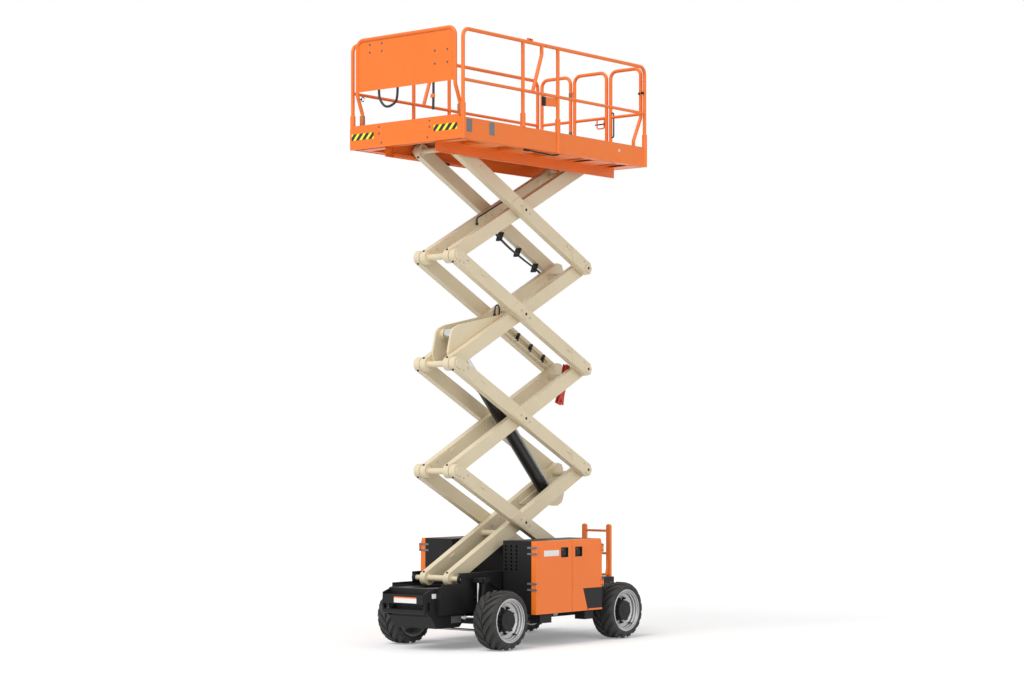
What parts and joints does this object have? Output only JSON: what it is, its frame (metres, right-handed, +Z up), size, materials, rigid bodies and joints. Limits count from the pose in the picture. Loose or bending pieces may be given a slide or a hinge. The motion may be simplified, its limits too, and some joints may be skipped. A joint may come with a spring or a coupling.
{
  "type": "scissor lift",
  "caption": "Self-propelled rough-terrain scissor lift with four arm stages, roll-out work platform, steered front wheels and side boxes, shown partly raised.",
  "frame": {"origin": "on the ground under the middle of the scissor stack, at the centre of the bounding box's base", "axes": "+X towards the front (steered) end, +Y to the left side, +Z up"},
  "size_m": [3.52, 1.756, 6.7822],
  "materials": {
    "orange_paint": "satin",
    "cream_paint": "satin",
    "black_paint": "satin",
    "silver_rim": "satin",
    "steel": "brushed",
    "nylon": "matte",
    "engine_grey": "rough",
    "deck_plate": "satin",
    "black_cylinder": "gloss",
    "chrome_rod": "polished",
    "tyre": "matte"
  },
  "bodies": {
    "chassis": {"chassis_frame": "black_paint", "chassis_track": "black_paint", "base_brackets": "black_paint", "front_bumper": "black_paint", "tie_down_lugs": "black_paint", "access_ladder": "orange_paint", "ladder_step": "black_paint", "front_axle": "black_paint", "left_axle_cylinder": "black_paint", "right_axle_cylinder": "black_paint", "rear_axle": "black_paint", "left_side_box": "black_paint", "right_side_box": "black_paint", "engine": "engine_grey"},
    "outer_1": {"outer_arms_1": "cream_paint"},
    "inner_1": {"inner_arms_1": "cream_paint", "pivot_pins_1": "steel", "track_rollers": "nylon"},
    "outer_2": {"outer_arms_2": "cream_paint"},
    "inner_2": {"inner_arms_2": "cream_paint", "pivot_pins_2": "steel"},
    "outer_3": {"outer_arms_3": "cream_paint"},
    "inner_3": {"inner_arms_3": "cream_paint", "pivot_pins_3": "steel"},
    "outer_4": {"outer_arms_4": "cream_paint", "top_slide_shaft": "steel"},
    "inner_4": {"inner_arms_4": "cream_paint", "pivot_pins_4": "steel"},
    "platform": {"platform_frame": "orange_paint", "platform_track": "orange_paint", "top_brackets": "orange_paint", "main_deck": "deck_plate", "rear_toe_boards": "orange_paint", "main_guard_rails": "orange_paint"},
    "extension": {"extension_deck": "deck_plate", "front_toe_boards": "orange_paint", "extension_guard_rails": "orange_paint", "front_panel": "orange_paint"},
    "gate": {"entry_gate": "orange_paint"},
    "main_barrel": {"main_cylinder_barrel": "black_cylinder"},
    "main_rod": {"main_cylinder_rod": "chrome_rod"},
    "left_front_door": {"left_front_door": "orange_paint"},
    "left_rear_door": {"left_rear_door": "orange_paint"},
    "left_knuckle": {"left_steering_knuckle": "black_paint"},
    "left_front_wheel": {"left_front_rim": "silver_rim", "left_front_tyre": "tyre"},
    "left_rear_wheel": {"left_rear_rim": "silver_rim", "left_rear_tyre": "tyre"},
    "right_front_door": {"right_front_door": "orange_paint"},
    "right_rear_door": {"right_rear_door": "orange_paint"},
    "right_knuckle": {"right_steering_knuckle": "black_paint"},
    "right_front_wheel": {"right_front_rim": "silver_rim", "right_front_tyre": "tyre"},
    "right_rear_wheel": {"right_rear_rim": "silver_rim", "right_rear_tyre": "tyre"},
    "tie_rod": {"steering_tie_rod": "steel"}
  },
  "joints": [
    {"name": "lift", "type": "hinge", "parent": "chassis", "child": "outer_1", "pos_m": [-1.171, 0, 0.777], "axis": [0, -1, 0], "range_deg": [-22.1, 33]},
    {"name": "stage_1_scissor", "type": "hinge", "parent": "outer_1", "child": "inner_1", "pos_m": [-0.00022, 0, 1.37354], "axis": [0, 1, 0], "range_deg": [-44.25, 66.05]},
    {"name": "fold_1", "type": "hinge", "parent": "outer_1", "child": "inner_2", "pos_m": [1.17057, 0, 1.97009], "axis": [0, 1, 0], "range_deg": [-44.25, 66.05]},
    {"name": "stage_2_scissor", "type": "hinge", "parent": "inner_2", "child": "outer_2", "pos_m": [-0.00022, 0, 2.56663], "axis": [0, -1, 0], "range_deg": [-44.25, 66.05]},
    {"name": "fold_2", "type": "hinge", "parent": "inner_2", "child": "outer_3", "pos_m": [-1.171, 0, 3.16317], "axis": [0, -1, 0], "range_deg": [-44.25, 66.05]},
    {"name": "stage_3_scissor", "type": "hinge", "parent": "outer_3", "child": "inner_3", "pos_m": [-0.00022, 0, 3.75972], "axis": [0, 1, 0], "range_deg": [-44.25, 66.05]},
    {"name": "fold_3", "type": "hinge", "parent": "outer_3", "child": "inner_4", "pos_m": [1.17057, 0, 4.35626], "axis": [0, 1, 0], "range_deg": [-44.25, 66.05]},
    {"name": "stage_4_scissor", "type": "hinge", "parent": "inner_4", "child": "outer_4", "pos_m": [-0.00022, 0, 4.9528], "axis": [0, -1, 0], "range_deg": [-44.25, 66.05]},
    {"name": "platform_level", "type": "hinge", "parent": "inner_4", "child": "platform", "pos_m": [-1.171, 0, 5.54935], "axis": [0, -1, 0], "range_deg": [-22.15, 33.05]},
    {"name": "main_cylinder_pivot", "type": "hinge", "parent": "inner_1", "child": "main_barrel", "pos_m": [-0.8212, 0, 1.62575], "axis": [0, -1, 0], "range_deg": [-42.48, 63.41]},
    {"name": "main_cylinder_stroke", "type": "slide", "parent": "main_barrel", "child": "main_rod", "axis": [0.688, 0, 0.7257], "range_m": [-0.6181, 0.9225]},
    {"name": "deck_extension", "type": "slide", "parent": "platform", "child": "extension", "axis": [1, 0, 0], "range_m": [0, 0.9]},
    {"name": "entry_gate_hinge", "type": "hinge", "parent": "platform", "child": "gate", "pos_m": [-1.614, -0.274, 6], "axis": [0, 0, -1], "range_deg": [0, 85]},
    {"name": "left_front_door_hinge", "type": "hinge", "parent": "chassis", "child": "left_front_door", "pos_m": [0.506, 0.867, 0.779], "axis": [0, 0, -1], "range_deg": [0, 100]},
    {"name": "left_rear_door_hinge", "type": "hinge", "parent": "chassis", "child": "left_rear_door", "pos_m": [-0.717, 0.867, 0.779], "axis": [0, 0, 1], "range_deg": [0, 100]},
    {"name": "right_front_door_hinge", "type": "hinge", "parent": "chassis", "child": "right_front_door", "pos_m": [0.506, -0.867, 0.779], "axis": [0, 0, 1], "range_deg": [0, 100]},
    {"name": "right_rear_door_hinge", "type": "hinge", "parent": "chassis", "child": "right_rear_door", "pos_m": [-0.717, -0.867, 0.779], "axis": [0, 0, -1], "range_deg": [0, 100]},
    {"name": "left_steering", "type": "hinge", "parent": "chassis", "child": "left_knuckle", "pos_m": [0.939, 0.575, 0.33], "axis": [0, 0, 1], "range_deg": [-35, 35]},
    {"name": "right_steering", "type": "hinge", "parent": "chassis", "child": "right_knuckle", "pos_m": [0.939, -0.575, 0.33], "axis": [0, 0, 1], "range_deg": [-35.05, 35.05]},
    {"name": "tie_rod_shift", "type": "slide", "parent": "chassis", "child": "tie_rod", "axis": [0, -1, 0], "range_m": [-0.081, 0.081]},
    {"name": "left_front_wheel_spin", "type": "hinge", "parent": "left_knuckle", "child": "left_front_wheel", "pos_m": [0.939, 0.71, 0.33], "axis": [0, 1, 0], "continuous": true},
    {"name": "left_rear_wheel_spin", "type": "hinge", "parent": "chassis", "child": "left_rear_wheel", "pos_m": [-1.197, 0.71, 0.33], "axis": [0, 1, 0], "continuous": true},
    {"name": "right_front_wheel_spin", "type": "hinge", "parent": "right_knuckle", "child": "right_front_wheel", "pos_m": [0.939, -0.71, 0.33], "axis": [0, 1, 0], "continuous": true},
    {"name": "right_rear_wheel_spin", "type": "hinge", "parent": "chassis", "child": "right_rear_wheel", "pos_m": [-1.197, -0.71, 0.33], "axis": [0, 1, 0], "continuous": true}
  ],
  "couplings": [
    {"joint": "stage_1_scissor", "follows": "lift", "ratio": 2},
    {"joint": "fold_1", "follows": "lift", "ratio": 2},
    {"joint": "stage_2_scissor", "follows": "lift", "ratio": 2},
    {"joint": "fold_2", "follows": "lift", "ratio": 2},
    {"joint": "stage_3_scissor", "follows": "lift", "ratio": 2},
    {"joint": "fold_3", "follows": "lift", "ratio": 2},
    {"joint": "stage_4_scissor", "follows": "lift", "ratio": 2},
    {"joint": "platform_level", "follows": "lift", "ratio": 1},
    {"joint": "main_cylinder_pivot", "follows": "lift", "ratio": 1.92},
    {"joint": "main_cylinder_stroke", "follows": "lift", "m_per_rad": 1.6},
    {"joint": "right_steering", "follows": "left_steering", "ratio": 1},
    {"joint": "tie_rod_shift", "follows": "left_steering", "m_per_rad": 0.13}
  ]
}
